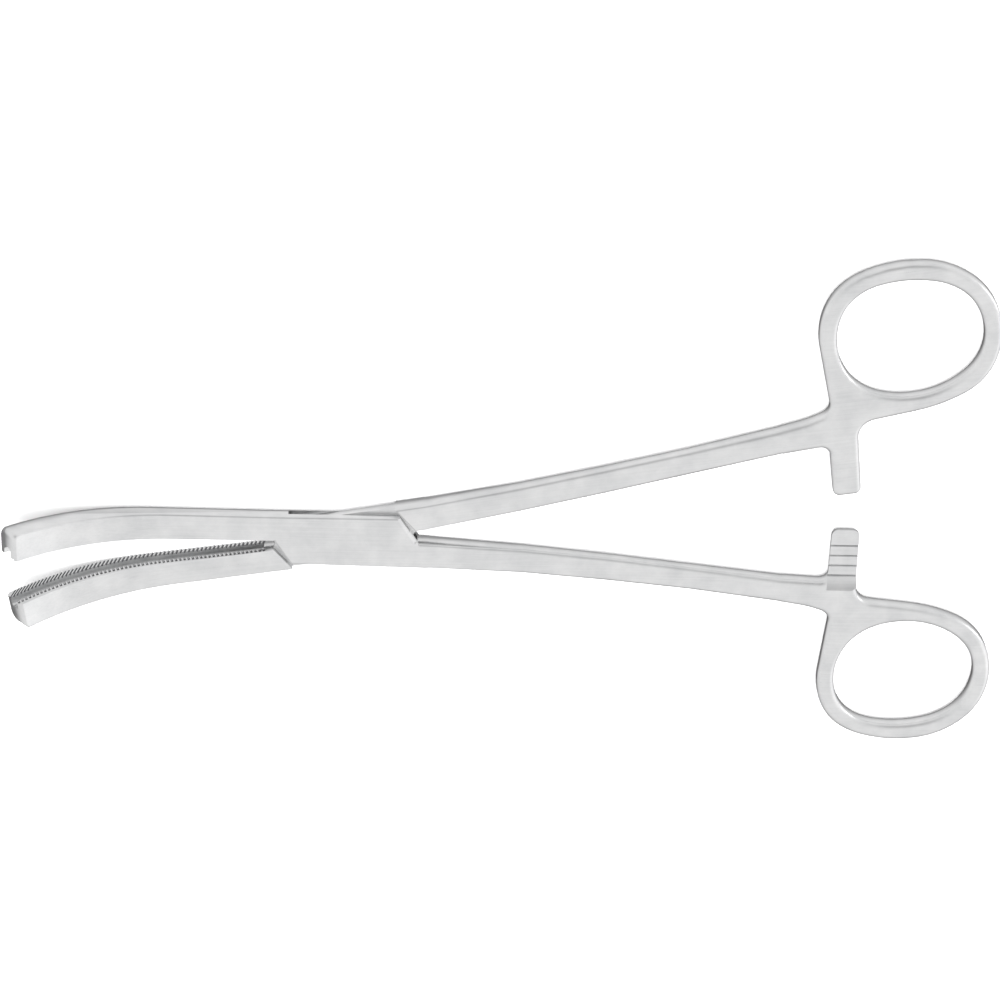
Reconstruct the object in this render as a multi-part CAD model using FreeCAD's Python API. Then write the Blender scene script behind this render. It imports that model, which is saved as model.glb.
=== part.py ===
import FreeCAD, Part
import math
import os
from FreeCAD import Vector

# Angiotribe forceps: a heavy ring-handled crushing clamp with a box lock and
# curved, grooved jaws. Millimetres, Z up.
# The forceps lies on the back of its lock. Z = 0 is that back face, and the
# rivet's axis is the Z axis. +X points to the finger rings, and the jaws
# point to -X and curve up. It is modelled partly open: each half is turned by
# half the opening from its closed place, where its biting face is on Y = 0.
# The box half carries the slot, with its jaw at +Y and its ring at -Y. The
# tang half passes through the slot. Both are drawn as the box half lies, and
# the tang half is then mirrored.

# Overall
OPENING_ANGLE = 8.7          # between the biting faces, degrees
LOCK_THICKNESS = 4.6         # of the lock and of the jaws beside it
MID_Z = LOCK_THICKNESS / 2

# Box lock
LOCK_ROOT = 13.6             # rivet to each end of the lock, on the closed line
LOCK_CORNER = 10.4           # rivet to each end of the lock, at its outer side
BOX_HALF_WIDTH = 5.1         # rivet to the outer sides of the box
TANG_HALF_WIDTH = 4.8        # rivet to the outer sides of the tang
SLOT_WIDTH = 1.6             # along Z, between the cheeks
TANG_PLAY = 0.05             # between the tang and each cheek
SLOT_END_PLAY = 0.3          # between the tang and the slot's ends
SHOULDER_PLAY = 0.15         # between the shoulders and the cheeks
CHEEK_BEVEL = 0.5            # on the slanting edges of the cheeks
SHOULDER_BEVEL = 0.35        # on the slanting edges of the shoulders

# Rivet
RIVET_RADIUS = 2.2
RIVET_HEAD_RADIUS = 2.7      # where the ends are hammered flush
RIVET_HEAD_DEPTH = 0.5
RIVET_PLAY = 0.05            # round the rivet, in the tang

# Jaws
BITE_PLAY = 0.05             # from each biting face to the closed line
JAW_TIP_HEIGHT = 5.6         # biting face to outer side, at the tip
NEAR_CURVE_START = 33.0      # rivet to where the upper, hollow side curves up
NEAR_CURVE_RADIUS = 46.5
NEAR_CURVE_ANGLE = 36.0
FAR_CURVE_START = 37.0       # rivet to where the lower side curves up
FAR_CURVE_RADIUS = 45.3
FAR_CURVE_ANGLE = 34.0
NEAR_TIP_RUN = 0.85          # straight end of the upper curve, up to the tip
FAR_TIP_RUN = 2.65           # the same for the lower curve
TIP_CORNER_ROUND = 2.3       # where the end face meets the outer side
NEAR_ROUND = 0.4             # along the upper outer edges of jaw and lock
FAR_ROUND = 1.0              # along the lower outer edges of jaw and lock

# Groove along the biting faces
GROOVE_WIDTH = 2.3
GROOVE_DEPTH = 1.9
GROOVE_ROUND = 0.9           # along both sides of its floor
GROOVE_END = 15.5            # rivet to its closed end
GROOVE_CURVE_START = 35.0
GROOVE_CURVE_RADIUS = 46.0

# Shanks, station by station from the lock to the web
SHANK_X = (16.0, 34.0, 50.0, 66.0, 84.0)
SHANK_OFFSET = (3.05, 4.25, 5.82, 7.65, 9.95)
SHANK_WIDTH = (5.1, 5.0, 4.95, 4.75, 5.1)
SHANK_THICKNESS = (4.6, 3.3, 2.85, 2.75, 3.5)
SHANK_NEAR_ROUND = (NEAR_ROUND, 0.75, 0.85, 0.9, 1.1)
SHANK_FAR_ROUND = (FAR_ROUND, 0.9, 0.9, 0.9, 1.1)
SHANK_SINK = 0.05            # step at both ends, down to the shank's surface
SHANK_ROOT = 0.3             # length of both ends, inside the lock and the web

# Web and finger rings
RING_X = 109.3               # rivet to the middle of the opening
RING_OFFSET = 28.5           # closed line to the middle of the opening
RING_OPENING_LENGTH = 27.2
RING_OPENING_BREADTH = 24.0
RING_WIDTH = 3.2             # of the bow, in plan
RING_FULLNESS = 1.02         # the opening's corners, beside an ellipse
HEEL_FULLNESS = 1.07         # the same for the corner below the shank
NECK_X = 89.0                # where the shank's outer side turns out
NECK_OFFSET = 13.35
NECK_ROUND = 20.0
HEEL_X = 93.7                # outer corner between shank and ring
HEEL_OFFSET = 14.9
HEEL_ROUND = 2.6
THROAT_X = 98.4              # corner between ratchet bar and ring
THROAT_OFFSET = 12.1
THROAT_ROUND = 3.6

# Ratchet bars
BAR_X = 92.8                 # rivet to the bar's near side
BAR_WIDTH = 5.3
BAR_REACH = 2.95             # the bar's end, past the closed line
BAR_CORNER_ROUND = 1.25
BAR_ROOT_OFFSET = 7.95       # closed line to the corner between bar and shank
BAR_ROOT_ROUND = 1.8
BAR_PLAY = 0.05              # from the tooth tips to the middle plane
TOOTH_COUNT = 4
TOOTH_PITCH = 2.2
TOOTH_RISE = 0.2             # of the long slope up to each tip
TOOTH_NOTCH = 0.65           # width and further depth of the notch below a steep face
TOOTH_LEAN = 0.1             # undercut of the steep faces
FIRST_TOOTH = 0.2            # closed line to the first steep face
RATCHET_RAMP = 2.0           # slope from the last notch up to the web
RATCHET_MARGIN = 0.3         # cut past both sides of the bar

ARC_TOLERANCE = 0.15         # between the rings' curves and their arcs
FAR = 200.0                  # past the whole forceps


def plan(x, y):
    return Vector(x, y, 0)


def side(x, z):
    return Vector(x, 0, z)


def rounded_path(corners, place):
    """Edges through (a, b, radius) corners, with the middle ones rounded."""
    points = [place(a, b) for a, b, radius in corners]
    edges = []
    start = points[0]
    for before, corner, after, (a, b, radius) in zip(points, points[1:], points[2:], corners[1:]):
        into = (corner - before).normalize()
        out = (after - corner).normalize()
        turn = into.getAngle(out)
        reach = radius * math.tan(turn / 2)
        first = corner - into * reach
        last = corner + out * reach
        edges.append(Part.makeLine(start, first))
        if radius:
            inward = (out - into).normalize()
            centre = corner + inward * (radius / math.cos(turn / 2))
            edges.append(Part.Arc(first, centre - inward * radius, last).toShape())
        start = last
    edges.append(Part.makeLine(start, points[-1]))
    return edges


def lock_end(offset):
    """Rivet to the end of the lock, along X, at an offset from the closed line."""
    slant = (LOCK_ROOT - LOCK_CORNER) / BOX_HALF_WIDTH
    return LOCK_ROOT - slant * offset


def jaw_end(start, radius, angle, run, base_z):
    """Where one side of the jaw ends, after its curve and a straight run."""
    turn = math.radians(angle)
    x = -start - radius * math.sin(turn) - run * math.cos(turn)
    z = base_z + radius * (1 - math.cos(turn)) + run * math.sin(turn)
    return x, z


def near_tip():
    return jaw_end(NEAR_CURVE_START, NEAR_CURVE_RADIUS, NEAR_CURVE_ANGLE, NEAR_TIP_RUN, LOCK_THICKNESS)


def far_tip():
    return jaw_end(FAR_CURVE_START, FAR_CURVE_RADIUS, FAR_CURVE_ANGLE, FAR_TIP_RUN, 0)


def jaw_corner(start, radius, angle):
    """X of the corner that a jaw's curve rounds."""
    return -start - radius * math.tan(math.radians(angle) / 2)


def side_profile():
    """Jaw and lock, seen along Y."""
    near_corner = jaw_corner(NEAR_CURVE_START, NEAR_CURVE_RADIUS, NEAR_CURVE_ANGLE)
    far_corner = jaw_corner(FAR_CURVE_START, FAR_CURVE_RADIUS, FAR_CURVE_ANGLE)
    corners = [
        (SHANK_X[0], MID_Z, 0),
        (SHANK_X[0], LOCK_THICKNESS, 0),
        (near_corner, LOCK_THICKNESS, NEAR_CURVE_RADIUS),
        (*near_tip(), 0),
        (*far_tip(), 0),
        (far_corner, 0, FAR_CURVE_RADIUS),
        (SHANK_X[0], 0, 0),
        (SHANK_X[0], MID_Z, 0),
    ]
    return Part.Wire(rounded_path(corners, side))


def front_outline(half_width):
    """Jaw and lock of a closed half, in plan."""
    past_tip = far_tip()[0] - TIP_CORNER_ROUND
    outer = SHANK_OFFSET[0] + SHANK_WIDTH[0] / 2
    inner = SHANK_OFFSET[0] - SHANK_WIDTH[0] / 2
    corners = [
        (past_tip, BITE_PLAY, 0),
        (-lock_end(BITE_PLAY), BITE_PLAY, 0),
        (-lock_end(half_width), -half_width, 0),
        (SHANK_X[0], -outer, 0),
        (SHANK_X[0], -inner, 0),
        (lock_end(-inner), -inner, 0),
        (lock_end(half_width), half_width, 0),
        (-LOCK_ROOT, half_width, FAR),
        (past_tip, JAW_TIP_HEIGHT, 0),
        (past_tip, BITE_PLAY, 0),
    ]
    return Part.Wire(rounded_path(corners, plan))


def middle(edge):
    return edge.valueAt((edge.FirstParameter + edge.LastParameter) / 2)


def edges_facing(solid, upward):
    """Outer edges of the upper or lower faces, without bite, lock ends and cut."""
    found = []
    for edge in solid.Edges:
        spot = middle(edge)
        on_bite = abs(spot.y - BITE_PLAY) < 0.01
        on_lock_end = abs(abs(spot.x) - lock_end(abs(spot.y))) < 0.05
        on_cut = abs(spot.x - SHANK_X[0]) < 0.01
        faces = solid.ancestorsOfType(edge, Part.Face)
        rises = [face.normalAt(*face.Surface.parameter(spot)).z * upward for face in faces]
        facing = [rise for rise in rises if rise > 0.7]
        if len(facing) == 1 and not (on_bite or on_lock_end or on_cut):
            found.append(edge)
    return found


def front(half_width):
    """Jaw and lock of a closed half, with the outer edges rounded."""
    block = Part.Face(front_outline(half_width)).extrude(Vector(0, 0, FAR))
    wall = Part.Face(side_profile())
    wall.translate(Vector(0, -FAR, 0))
    plain = block.common(wall.extrude(Vector(0, 2 * FAR, 0)))
    end_face = min(plain.Faces, key=lambda face: face.CenterOfMass.x)
    tip_corner = max(end_face.Edges, key=lambda edge: middle(edge).y)
    blunt = plain.makeFillet(TIP_CORNER_ROUND, [tip_corner])
    lower_done = blunt.makeFillet(FAR_ROUND, edges_facing(blunt, -1))
    return lower_done.makeFillet(NEAR_ROUND, edges_facing(lower_done, 1))


def section(x, offset, width, thickness, near_radius, far_radius):
    """The shank's section at one station: a rounded rectangle."""
    across = width / 2
    up = thickness / 2
    corners = [
        (across, 0, 0),
        (across, -up, far_radius),
        (-across, -up, far_radius),
        (-across, up, near_radius),
        (across, up, near_radius),
        (across, 0, 0),
    ]
    wire = Part.Wire(rounded_path(corners, lambda y, z: Vector(0, y, z)))
    wire.translate(Vector(x, -offset, MID_Z))
    return wire


def shank():
    """The shank, with both ends let into the lock and the web."""
    widths = list(SHANK_WIDTH)
    thicknesses = list(SHANK_THICKNESS)
    for number in (0, -1):
        widths[number] -= 2 * SHANK_SINK
        thicknesses[number] -= 2 * SHANK_SINK
    sizes = zip(SHANK_X, SHANK_OFFSET, widths, thicknesses, SHANK_NEAR_ROUND, SHANK_FAR_ROUND)
    sections = [section(*size) for size in sizes]
    near_root = Part.Face(sections[0]).extrude(Vector(-SHANK_ROOT, 0, 0))
    far_root = Part.Face(sections[-1]).extrude(Vector(SHANK_ROOT, 0, 0))
    return Part.makeLoft(sections, True, True).fuse([near_root, far_root])


def ring_point(number, extra):
    """A point of the ring's opening, or outside it, at eighths of a turn."""
    turn = math.radians(45 * number)
    fullness = 1.0
    if number % 2:
        fullness = HEEL_FULLNESS if number == 5 else RING_FULLNESS
    x = (RING_OPENING_LENGTH / 2 + extra) * fullness * math.cos(turn)
    y = (RING_OPENING_BREADTH / 2 + extra) * fullness * math.sin(turn)
    return plan(RING_X + x, -RING_OFFSET + y)


def as_arcs(curve):
    """A smooth curve as tangent arcs."""
    return [arc.toShape() for arc in curve.toBiArcs(ARC_TOLERANCE)]


def ring_opening():
    curve = Part.BSplineCurve()
    curve.interpolate(Points=[ring_point(number, 0) for number in range(8)], PeriodicFlag=True)
    return Part.Wire(as_arcs(curve))


def ring_outline():
    """Web, ratchet bar and ring in plan, without the ring's opening."""
    outer = SHANK_OFFSET[-1] + SHANK_WIDTH[-1] / 2
    inner = SHANK_OFFSET[-1] - SHANK_WIDTH[-1] / 2
    heel = plan(HEEL_X, -HEEL_OFFSET)
    throat = plan(THROAT_X, -THROAT_OFFSET)
    points = [ring_point(number, RING_WIDTH) for number in range(4, 11)]
    below = [
        (SHANK_X[-1], -outer, 0),
        (NECK_X, -NECK_OFFSET, NECK_ROUND),
        (HEEL_X, -HEEL_OFFSET, HEEL_ROUND),
        (points[0].x, points[0].y, 0),
    ]
    above = [
        (points[-1].x, points[-1].y, 0),
        (THROAT_X, -THROAT_OFFSET, THROAT_ROUND),
        (BAR_X + BAR_WIDTH, BAR_REACH, BAR_CORNER_ROUND),
        (BAR_X, BAR_REACH, BAR_CORNER_ROUND),
        (BAR_X, -BAR_ROOT_OFFSET, BAR_ROOT_ROUND),
        (SHANK_X[-1], -inner, 0),
        (SHANK_X[-1], -outer, 0),
    ]
    bow = Part.BSplineCurve()
    bow.interpolate(
        Points=points,
        Parameters=list(range(len(points))),
        InitialTangent=(points[0] - heel).normalize() * (points[1] - points[0]).Length,
        FinalTangent=(throat - points[-1]).normalize() * (points[-1] - points[-2]).Length,
        Scale=False,
    )
    return Part.Wire(rounded_path(below, plan) + as_arcs(bow) + rounded_path(above, plan))


def ring_and_bar():
    """Web, ring and plain ratchet bar, with all outer edges rounded."""
    thickness = SHANK_THICKNESS[-1]
    face = Part.Face(ring_outline()).cut(Part.Face(ring_opening()))
    face.translate(Vector(0, 0, MID_Z - thickness / 2))
    block = face.extrude(Vector(0, 0, thickness))
    level = [
        edge for edge in block.Edges
        if abs(middle(edge).z - MID_Z) > thickness / 4 and middle(edge).x > SHANK_X[-1] + 0.01
    ]
    return block.makeFillet(SHANK_NEAR_ROUND[-1], level)


def ratchet_cutter():
    """What is cut from above the ratchet bar, to leave its teeth."""
    tip_z = MID_Z - BAR_PLAY
    root_z = tip_z - TOOTH_RISE
    surface_z = MID_Z + SHANK_THICKNESS[-1] / 2
    corners = [(BAR_REACH + 1, root_z)]
    for number in range(TOOTH_COUNT):
        y = -FIRST_TOOTH - number * TOOTH_PITCH
        corners.append((y, tip_z))
        corners.append((y + TOOTH_LEAN, root_z - TOOTH_NOTCH))
        corners.append((y + TOOTH_LEAN - TOOTH_NOTCH, root_z))
    ramp_y, ramp_z = corners[-1]
    rise = surface_z - ramp_z
    corners.append((ramp_y - 2 * RATCHET_RAMP, ramp_z + 2 * rise))
    corners.append((BAR_REACH + 1, ramp_z + 2 * rise))
    points = [Vector(BAR_X - RATCHET_MARGIN, y, z) for y, z in corners + corners[:1]]
    return Part.Face(Part.makePolygon(points)).extrude(Vector(BAR_WIDTH + 2 * RATCHET_MARGIN, 0, 0))


def opened(shape, angle):
    """A shape turned about the rivet."""
    turned = shape.copy()
    turned.rotate(Vector(0, 0, 0), Vector(0, 0, 1), angle)
    return turned


def lock_band(play, low_z, high_z):
    """The space between the slanting ends of the lock, longer by a play."""
    reach = 2 * BOX_HALF_WIDTH
    short = lock_end(reach) + play
    long = lock_end(-reach) + play
    corners = [(-long, -reach), (short, -reach), (long, reach), (-short, reach)]
    points = [Vector(x, y, low_z) for x, y in corners + corners[:1]]
    return Part.Face(Part.makePolygon(points)).extrude(Vector(0, 0, high_z - low_z))


def bevel_rods(play, bevel):
    """Square rods set on edge, which bevel one half of each end of the lock."""
    reach = 2 * BOX_HALF_WIDTH
    start = plan(lock_end(reach) + play, -reach)
    along = plan(LOCK_ROOT + play, 0) - start
    across = Vector(along.y, -along.x, 0).normalize() * bevel
    up = Vector(0, 0, bevel)
    section = Part.Face(Part.makePolygon([across, up, -across, -up, across]))
    rods = []
    for z in (0, LOCK_THICKNESS):
        rod = section.extrude(along)
        rod.translate(start + Vector(0, 0, z))
        rods.append(rod)
        rods.append(opened(rod, 180))
    return rods


def groove():
    """The channel along the middle of a biting face, open at the tip."""
    centre_z = MID_Z + GROOVE_CURVE_RADIUS
    turn = math.radians(NEAR_CURVE_ANGLE + 10)

    def bend(radius):
        points = [
            side(-GROOVE_CURVE_START - radius * math.sin(turn * part), centre_z - radius * math.cos(turn * part))
            for part in (0, 0.5, 1)
        ]
        return Part.Arc(*points).toShape()

    upper = bend(GROOVE_CURVE_RADIUS - GROOVE_WIDTH / 2)
    lower = bend(GROOVE_CURVE_RADIUS + GROOVE_WIDTH / 2)
    upper_start, upper_end = [vertex.Point for vertex in upper.Vertexes]
    lower_start, lower_end = [vertex.Point for vertex in lower.Vertexes]
    upper_root = side(-GROOVE_END, upper_start.z)
    lower_root = side(-GROOVE_END, lower_start.z)
    outline = Part.Wire([
        Part.makeLine(upper_root, upper_start),
        upper,
        Part.makeLine(upper_end, lower_end),
        lower,
        Part.makeLine(lower_start, lower_root),
        Part.makeLine(lower_root, upper_root),
    ])
    channel = Part.Face(outline).extrude(Vector(0, BITE_PLAY + GROOVE_DEPTH, 0))
    floor_sides = [
        edge for edge in channel.Edges
        if middle(edge).y > GROOVE_DEPTH and edge.Length > 2 * GROOVE_WIDTH
    ]
    return channel.makeFillet(GROOVE_ROUND, floor_sides)


def rivet():
    """The rivet: a round pin, swollen into both countersinks and polished flush."""
    shaft = Part.makeCylinder(RIVET_RADIUS, LOCK_THICKNESS)
    low_head = Part.makeCone(RIVET_HEAD_RADIUS, RIVET_RADIUS, RIVET_HEAD_DEPTH)
    high_head = low_head.mirror(Vector(0, 0, MID_Z), Vector(0, 0, 1))
    return shaft.fuse([low_head, high_head]).removeSplitter()


def half(half_width, cuts):
    """A closed half: front, shank and ring joined, then cut."""
    whole = front(half_width).fuse([shank(), ring_and_bar()])
    return whole.cut([groove()] + cuts)


def box_half():
    """The half with the slot. Its ratchet teeth face up."""
    slot = lock_band(SLOT_END_PLAY, MID_Z - SLOT_WIDTH / 2, MID_Z + SLOT_WIDTH / 2)
    bevels = [rod.mirror(Vector(0, 0, 0), Vector(0, 1, 0)) for rod in bevel_rods(0, CHEEK_BEVEL)]
    return half(BOX_HALF_WIDTH, [slot, rivet(), ratchet_cutter()] + bevels)


def tang_half():
    """The half that passes through the slot. Its ratchet teeth face down."""
    tang = SLOT_WIDTH / 2 - TANG_PLAY
    below = lock_band(SHOULDER_PLAY, -1, MID_Z - tang)
    above = lock_band(SHOULDER_PLAY, MID_Z + tang, LOCK_THICKNESS + 1)
    hole = Part.makeCylinder(RIVET_RADIUS + RIVET_PLAY, LOCK_THICKNESS)
    teeth = ratchet_cutter().mirror(Vector(0, 0, MID_Z), Vector(0, 0, 1))
    cuts = [below, above, hole, teeth] + bevel_rods(SHOULDER_PLAY, SHOULDER_BEVEL)
    return half(TANG_HALF_WIDTH, cuts).mirror(Vector(0, 0, 0), Vector(0, 1, 0))


os.makedirs("parts", exist_ok=True)
parts = {
    "box_half": opened(box_half(), -OPENING_ANGLE / 2),
    "tang_half": opened(tang_half(), OPENING_ANGLE / 2),
    "rivet": rivet(),
}
for name, shape in parts.items():
    solid = shape.Solids[0]
    solid.exportStep(f"parts/{name}.step")
    print(name, "valid" if solid.isValid() else "not valid", round(solid.Volume, 1), "mm3")
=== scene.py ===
import math

import bmesh
import bpy
from mathutils import Matrix, Vector


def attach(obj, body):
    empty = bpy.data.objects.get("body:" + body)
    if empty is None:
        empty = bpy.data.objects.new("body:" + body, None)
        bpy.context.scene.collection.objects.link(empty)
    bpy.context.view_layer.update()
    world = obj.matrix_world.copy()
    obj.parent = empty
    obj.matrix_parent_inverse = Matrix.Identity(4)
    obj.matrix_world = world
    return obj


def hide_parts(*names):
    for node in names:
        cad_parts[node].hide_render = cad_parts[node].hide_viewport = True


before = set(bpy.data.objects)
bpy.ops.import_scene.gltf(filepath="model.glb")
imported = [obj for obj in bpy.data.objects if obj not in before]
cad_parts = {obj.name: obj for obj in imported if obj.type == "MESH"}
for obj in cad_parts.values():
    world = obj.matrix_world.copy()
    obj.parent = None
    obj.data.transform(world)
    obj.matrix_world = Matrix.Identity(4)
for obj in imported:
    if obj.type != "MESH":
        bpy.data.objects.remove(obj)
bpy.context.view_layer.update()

# Camera
# It stands 0.62 m off, above the side that the slotted jaw opens to, and looks
# down at the forceps 30 degrees off the rivet's axis, with a slight roll.
CAMERA_TILT = math.radians(30)
CAMERA_ROLL = math.radians(2.8)
CAMERA_PLACE = Vector((0.02947, 0.00684, 0.61484))    # along the camera's own axes, from the lock
LOCK_MIDDLE = Vector((0, 0, 0.0023))

to_camera_axes = Matrix.Rotation(CAMERA_ROLL, 3, "Z") @ Matrix.Rotation(CAMERA_TILT, 3, "X")
camera_turn = to_camera_axes.transposed()
camera_data = bpy.data.cameras.new("camera")
camera_data.sensor_width = 36
camera_data.lens = 116.5
camera_data.clip_start = 0.01
camera_data.clip_end = 10
camera = bpy.data.objects.new("camera", camera_data)
camera.matrix_world = Matrix.Translation(camera_turn @ CAMERA_PLACE + LOCK_MIDDLE) @ camera_turn.to_4x4()
bpy.context.scene.collection.objects.link(camera)
bpy.context.scene.camera = camera

# Floor
# A wide sheet of matt white card that the forceps lies on, back of the lock
# down.
FLOOR_SIZE = 4.0

floor_shape = bmesh.new()
bmesh.ops.create_grid(floor_shape, x_segments=1, y_segments=1, size=FLOOR_SIZE / 2)
floor_mesh = bpy.data.meshes.new("floor")
floor_shape.to_mesh(floor_mesh)
floor_shape.free()
floor = bpy.data.objects.new("floor", floor_mesh)
floor.visible_glossy = False
bpy.context.scene.collection.objects.link(floor)

card = bpy.data.materials.new("white card")
card.use_nodes = True
card_shader = card.node_tree.nodes["Principled BSDF"]
card_shader.inputs["Base Color"].default_value = (0.95, 0.95, 0.95, 1)
card_shader.inputs["Roughness"].default_value = 0.9
card_shader.inputs["Specular IOR Level"].default_value = 0.1
floor_mesh.materials.append(card)

# Light
# A white tent with two dark places: the opening that the camera looks through,
# and the gap below and beyond the forceps. A soft box overhead lights the
# card, and two low ones shine in the bevels and in the curves of the jaws.
GAP_TILT = math.radians(50)
# The tent's tone by height along a tilted axis, from -1 at its foot to 1 at its top
OPENING_TONES = {0.5: 0.96, 0.87: 0.91, 0.94: 0.72, 0.98: 0.52, 1.0: 0.46}
GAP_TONES = {-1.0: 0.02, -0.94: 0.04, -0.82: 0.16, -0.64: 0.42, -0.40: 0.74, -0.17: 0.90, 0.0: 0.97}

bpy.context.scene.view_settings.view_transform = "Standard"
tent = bpy.data.worlds.new("tent")
tent.use_nodes = True
tent_nodes = tent.node_tree.nodes
tent_links = tent.node_tree.links
direction = tent_nodes.new("ShaderNodeTexCoord")


def tent_tone(tilt, tones):
    """The tones along an axis that is tilted from Z towards +Y."""
    tilted = tent_nodes.new("ShaderNodeMapping")
    tilted.inputs["Rotation"].default_value = (tilt, 0, 0)
    height = tent_nodes.new("ShaderNodeSeparateXYZ")
    from_foot = tent_nodes.new("ShaderNodeMapRange")
    from_foot.inputs["From Min"].default_value = -1.0
    ramp = tent_nodes.new("ShaderNodeValToRGB")
    while len(ramp.color_ramp.elements) < len(tones):
        ramp.color_ramp.elements.new(0.5)
    for stop, (level, tone) in zip(ramp.color_ramp.elements, sorted(tones.items())):
        stop.position = (level + 1) / 2
        stop.color = (tone, tone, tone, 1)
    tent_links.new(direction.outputs["Generated"], tilted.inputs["Vector"])
    tent_links.new(tilted.outputs["Vector"], height.inputs["Vector"])
    tent_links.new(height.outputs["Z"], from_foot.inputs["Value"])
    tent_links.new(from_foot.outputs["Result"], ramp.inputs["Fac"])
    return ramp.outputs["Color"]


tent_mix = tent_nodes.new("ShaderNodeMix")
tent_mix.data_type = "RGBA"
tent_mix.blend_type = "MULTIPLY"
tent_mix.inputs["Factor"].default_value = 1.0
tent_links.new(tent_tone(CAMERA_TILT, OPENING_TONES), tent_mix.inputs["A"])
tent_links.new(tent_tone(GAP_TILT, GAP_TONES), tent_mix.inputs["B"])
tent_links.new(tent_mix.outputs["Result"], tent_nodes["Background"].inputs["Color"])
bpy.context.scene.world = tent


def soft_box(name, place, length, breadth, watts, is_mirrored):
    """A flat lamp aimed at the lock, which the steel may mirror or not."""
    lamp = bpy.data.lights.new(name, "AREA")
    lamp.shape = "RECTANGLE"
    lamp.size = length
    lamp.size_y = breadth
    lamp.energy = watts
    box = bpy.data.objects.new(name, lamp)
    box.location = place
    box.rotation_mode = "QUATERNION"
    box.rotation_quaternion = (LOCK_MIDDLE - Vector(place)).to_track_quat("-Z", "Y")
    box.visible_glossy = is_mirrored
    bpy.context.scene.collection.objects.link(box)


soft_box("side soft box", (0.75, 0.08, 0.21), length=0.25, breadth=0.20, watts=0.4, is_mirrored=True)
soft_box("overhead soft box", (0.1, 0.2, 0.9), length=0.9, breadth=0.7, watts=15.0, is_mirrored=False)
soft_box("low soft box", (0.55, -0.37, 0.32), length=0.5, breadth=0.4, watts=0.22, is_mirrored=True)

# Box half
# The forged half with the slot: one jaw, the two cheeks of the box, one shank
# and the finger ring, all one piece of stainless steel. It is ground smooth
# and brushed to a satin finish, and the biting face is milled last.
HALF_OPENING = math.radians(4.35)       # each half is turned by this from its closed place
HALF_THICKNESS = 0.0023
GROOVE_CURVE_START = 0.035              # rivet to where the groove curves up
GROOVE_CURVE_RADIUS = 0.046
WELD = 1e-6
FLAT_ANGLE = math.radians(0.4)          # between triangles of one flat face
SHARP_ANGLE = math.radians(30)          # from which an edge is left sharp


def whole_shell(node):
    """A node's triangles merged, with its flat faces made whole."""
    shell = bmesh.new()
    shell.from_mesh(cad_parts[node].data)
    bmesh.ops.remove_doubles(shell, verts=shell.verts, dist=WELD)
    bmesh.ops.dissolve_limit(
        shell, angle_limit=FLAT_ANGLE, use_dissolve_boundaries=False, verts=shell.verts, edges=shell.edges
    )
    return shell


def steel_piece(name, shell):
    """A new piece from a shell, without the shading that the shell brought along."""
    mesh = bpy.data.meshes.new(name)
    shell.to_mesh(mesh)
    shell.free()
    old_normals = mesh.attributes.get("custom_normal")
    if old_normals:
        mesh.attributes.remove(old_normals)
    piece = bpy.data.objects.new(name, mesh)
    bpy.context.scene.collection.objects.link(piece)
    return piece


def apply_modifiers(piece):
    """Puts what a piece's modifiers make into its own mesh."""
    finished = bpy.data.meshes.new_from_object(piece.evaluated_get(bpy.context.evaluated_depsgraph_get()))
    piece.modifiers.clear()
    piece.data = finished


def smooth_finish(piece):
    """Smooth shading that keeps flat faces flat and sharp edges sharp."""
    piece.data.shade_smooth()
    piece.data.set_sharp_from_angle(angle=SHARP_ANGLE)
    even = piece.modifiers.new("even shading", "WEIGHTED_NORMAL")
    even.keep_sharp = True
    even.weight = 100
    apply_modifiers(piece)


CROWN = 0.7              # tilt of the shading at a wall's edges
BITE_FACING = -0.3       # what leans further to the other jaw than this is biting face
BITE_REACH = 0.002       # closed line to the deepest point of a serration


def crown_walls(piece, side, turn):
    """Tilts the shading of all but the biting face, as if it were ground slightly round."""
    mesh = piece.data
    to_own_axes = Matrix.Rotation(-turn, 3, "Z")
    centre = Vector((-GROOVE_CURVE_START, 0, LOCK_MIDDLE.z + GROOVE_CURVE_RADIUS))
    normals = []
    for corner, normal in zip(mesh.loops, mesh.corner_normals):
        place = to_own_axes @ mesh.vertices[corner.vertex_index].co
        facing = (to_own_axes @ normal.vector).y * side
        bend = max(0.0, -place.x - GROOVE_CURVE_START) / GROOVE_CURVE_RADIUS
        up = Vector((math.sin(bend), 0, math.cos(bend)))
        if bend:
            height = GROOVE_CURVE_RADIUS - (Vector((place.x, 0, place.z)) - centre).length
        else:
            height = place.z - LOCK_MIDDLE.z
        is_on_jaw = place.x < -SERRATION_FIRST
        is_bite = is_on_jaw and facing < BITE_FACING and abs(place.y) < BITE_REACH
        tilt = 0 if is_bite else CROWN * height / HALF_THICKNESS
        normals.append((normal.vector + to_own_axes.transposed() @ up * tilt).normalized())
    mesh.normals_split_custom_set(normals)


BITE_PLAY = 0.00005            # closed line to each biting face
SERRATION_PITCH = 0.0008
SERRATION_COUNT = 64
SERRATION_SLANT = math.radians(16)
SERRATION_FIRST = 0.0160       # rivet to the first serration
SERRATION_DEPTH = 0.00035
SERRATION_WIDTH = 0.0006
MILL_CLEARANCE = 0.0001        # of the cutters above the biting face
MILL_START = 0.0004            # groove's middle to where both rows start, inside the groove
NEAR_ROW_END = 0.0022          # groove's middle to where the upper row ends, short of the edge
FAR_ROW_END = 0.0046           # the same for the lower row, which runs out past its edge
CUTTER_HEIGHT = 1.5            # of a three-sided cutter, in radii
CUTTER_SIDE = math.sqrt(3)     # of the same cutter, in radii

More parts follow.
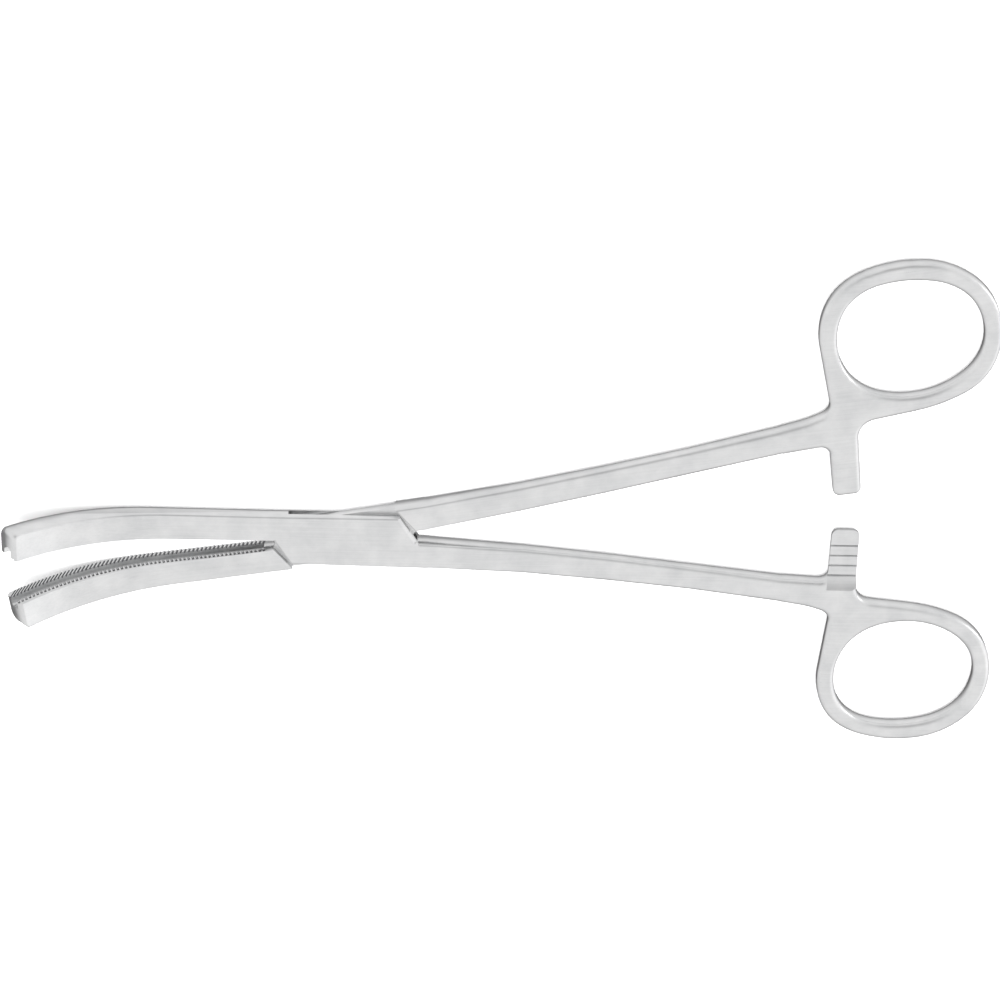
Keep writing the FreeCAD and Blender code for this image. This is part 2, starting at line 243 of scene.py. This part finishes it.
# The steel of the serrations' cut faces. Its higher roughness is the milled finish; its darker base
# colour is painted shade in the grooves.
milled_and_shaded_steel = bpy.data.materials.new("milled steel with painted shade")
milled_and_shaded_steel.use_nodes = True
milled_and_shaded_shader = milled_and_shaded_steel.node_tree.nodes["Principled BSDF"]
# darker than the satin steel: painted shade in the serration grooves
milled_and_shaded_shader.inputs["Base Color"].default_value = (0.34, 0.34, 0.35, 1)
milled_and_shaded_shader.inputs["Metallic"].default_value = 1.0
milled_and_shaded_shader.inputs["Roughness"].default_value = 0.5


def serration_mill(name, side, turn):
    """Three-sided cutters that mill a slanting row of teeth along both edges of a groove."""
    cutter = bmesh.new()
    radius = (SERRATION_DEPTH + MILL_CLEARANCE) / CUTTER_HEIGHT
    for number in range(SERRATION_COUNT):
        run = SERRATION_FIRST + number * SERRATION_PITCH
        bend = max(0.0, run - GROOVE_CURVE_START) / GROOVE_CURVE_RADIUS
        x = -min(run, GROOVE_CURVE_START) - GROOVE_CURVE_RADIUS * math.sin(bend)
        z = LOCK_MIDDLE.z + GROOVE_CURVE_RADIUS * (1 - math.cos(bend))
        groove_middle = Matrix.Translation((x, BITE_PLAY + SERRATION_DEPTH - radius, z))
        for row, row_end in ((-1, FAR_ROW_END), (1, NEAR_ROW_END)):
            slant = Matrix.Rotation(row * SERRATION_SLANT, 4, "Y")
            outwards = Matrix.Translation((0, 0, row * (MILL_START + row_end) / 2))
            width = SERRATION_WIDTH * math.cos(bend - row * SERRATION_SLANT) / (radius * CUTTER_SIDE)
            bmesh.ops.create_cone(
                cutter, cap_ends=True, cap_tris=False, segments=3, radius1=radius, radius2=radius,
                depth=row_end - MILL_START,
                matrix=groove_middle @ slant @ outwards @ Matrix.Diagonal((width, 1, 1, 1)),
            )
    bmesh.ops.scale(cutter, vec=(1, side, 1), verts=cutter.verts)
    bmesh.ops.rotate(cutter, matrix=Matrix.Rotation(turn, 3, "Z"), verts=cutter.verts)
    bmesh.ops.recalc_face_normals(cutter, faces=cutter.faces)
    mill = steel_piece(name, cutter)
    mill.data.materials.append(milled_and_shaded_steel)
    return mill


def mill_serrations(piece, side, turn):
    """Cuts the serrations, whose cut faces take the milled steel: rougher as milled, and darker in colour
    as painted shade in the grooves.
    """
    mill = serration_mill("serration mill", side, turn)
    milling = piece.modifiers.new("serrations", "BOOLEAN")
    milling.operation = "DIFFERENCE"
    milling.solver = "EXACT"
    milling.material_mode = "TRANSFER"
    milling.object = mill
    apply_modifiers(piece)
    bpy.data.objects.remove(mill)


satin_grain = bpy.data.node_groups.new("satin grain", "ShaderNodeTree")
satin_grain.interface.new_socket("Vector", in_out="INPUT", socket_type="NodeSocketVector")
satin_grain.interface.new_socket("Roughness", in_out="OUTPUT", socket_type="NodeSocketFloat")
satin_grain.interface.new_socket("Color", in_out="OUTPUT", socket_type="NodeSocketColor")
satin_grain.interface.new_socket("Height", in_out="OUTPUT", socket_type="NodeSocketFloat")
grain_nodes = satin_grain.nodes
grain_links = satin_grain.links
way_in = grain_nodes.new("NodeGroupInput")
way_out = grain_nodes.new("NodeGroupOutput")

along = grain_nodes.new("ShaderNodeMapping")
along.inputs["Scale"].default_value = (60, 3600, 3600)
grain_links.new(way_in.outputs["Vector"], along.inputs["Vector"])
scratches = grain_nodes.new("ShaderNodeTexNoise")
scratches.inputs["Scale"].default_value = 1.0
scratches.inputs["Detail"].default_value = 3.0
grain_links.new(along.outputs["Vector"], scratches.inputs["Vector"])

cloud = grain_nodes.new("ShaderNodeTexNoise")
cloud.inputs["Scale"].default_value = 160.0
cloud.inputs["Detail"].default_value = 5.0
cloud.inputs["Roughness"].default_value = 0.62
grain_links.new(way_in.outputs["Vector"], cloud.inputs["Vector"])

tint = grain_nodes.new("ShaderNodeValToRGB")
tint.color_ramp.elements[0].position = 0.3
tint.color_ramp.elements[0].color = (0.70, 0.705, 0.71, 1)
tint.color_ramp.elements[1].position = 0.7
tint.color_ramp.elements[1].color = (0.84, 0.84, 0.84, 1)
grain_links.new(cloud.outputs["Fac"], tint.inputs["Fac"])
streaks = grain_nodes.new("ShaderNodeMix")
streaks.data_type = "RGBA"
streaks.blend_type = "OVERLAY"
streaks.inputs["Factor"].default_value = 0.25
grain_links.new(tint.outputs["Color"], streaks.inputs["A"])
grain_links.new(scratches.outputs["Fac"], streaks.inputs["B"])
grain_links.new(streaks.outputs["Result"], way_out.inputs["Color"])

rough = grain_nodes.new("ShaderNodeMapRange")
rough.inputs["To Min"].default_value = 0.24
rough.inputs["To Max"].default_value = 0.38
grain_links.new(scratches.outputs["Fac"], rough.inputs["Value"])
grain_links.new(rough.outputs["Result"], way_out.inputs["Roughness"])
grain_links.new(scratches.outputs["Fac"], way_out.inputs["Height"])


def satin_steel(name, turn):
    """Brushed steel whose grain runs along a half's own axis."""
    steel = bpy.data.materials.new(name)
    steel.use_nodes = True
    nodes = steel.node_tree.nodes
    links = steel.node_tree.links
    shader = nodes["Principled BSDF"]
    shader.inputs["Metallic"].default_value = 1.0
    place = nodes.new("ShaderNodeTexCoord")
    turned = nodes.new("ShaderNodeMapping")
    turned.inputs["Rotation"].default_value = (0, 0, -turn)
    grain = nodes.new("ShaderNodeGroup")
    grain.node_tree = satin_grain
    bump = nodes.new("ShaderNodeBump")
    bump.inputs["Strength"].default_value = 0.2
    bump.inputs["Distance"].default_value = 0.00002
    links.new(place.outputs["Object"], turned.inputs["Vector"])
    links.new(turned.outputs["Vector"], grain.inputs["Vector"])
    links.new(grain.outputs["Color"], shader.inputs["Base Color"])
    links.new(grain.outputs["Roughness"], shader.inputs["Roughness"])
    links.new(grain.outputs["Height"], bump.inputs["Height"])
    links.new(bump.outputs["Normal"], shader.inputs["Normal"])
    return steel


box_steel = satin_steel("box half satin steel", -HALF_OPENING)
box_half = steel_piece("forged_box_half", whole_shell("box_half"))
box_half.data.materials.clear()
box_half.data.materials.append(box_steel)
mill_serrations(box_half, 1, -HALF_OPENING)
smooth_finish(box_half)
crown_walls(box_half, 1, -HALF_OPENING)
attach(box_half, "box_body")
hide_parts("box_half")

# Tang half
# The other forged half, drawn thin where it passes through the slot of the
# box. It has the same finish, with its grain along its own shank.
tang_steel = satin_steel("tang half satin steel", HALF_OPENING)
tang_half = steel_piece("forged_tang_half", whole_shell("tang_half"))
tang_half.data.materials.clear()
tang_half.data.materials.append(tang_steel)
mill_serrations(tang_half, -1, HALF_OPENING)
smooth_finish(tang_half)
crown_walls(tang_half, -1, HALF_OPENING)
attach(tang_half, "tang_body")
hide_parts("tang_half")

# Rivet
# A steel pin hammered into the countersinks of both cheeks and ground flush,
# so that its ends hardly show.
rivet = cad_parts["rivet"]
rivet.data.materials.clear()
rivet.data.materials.append(box_steel)
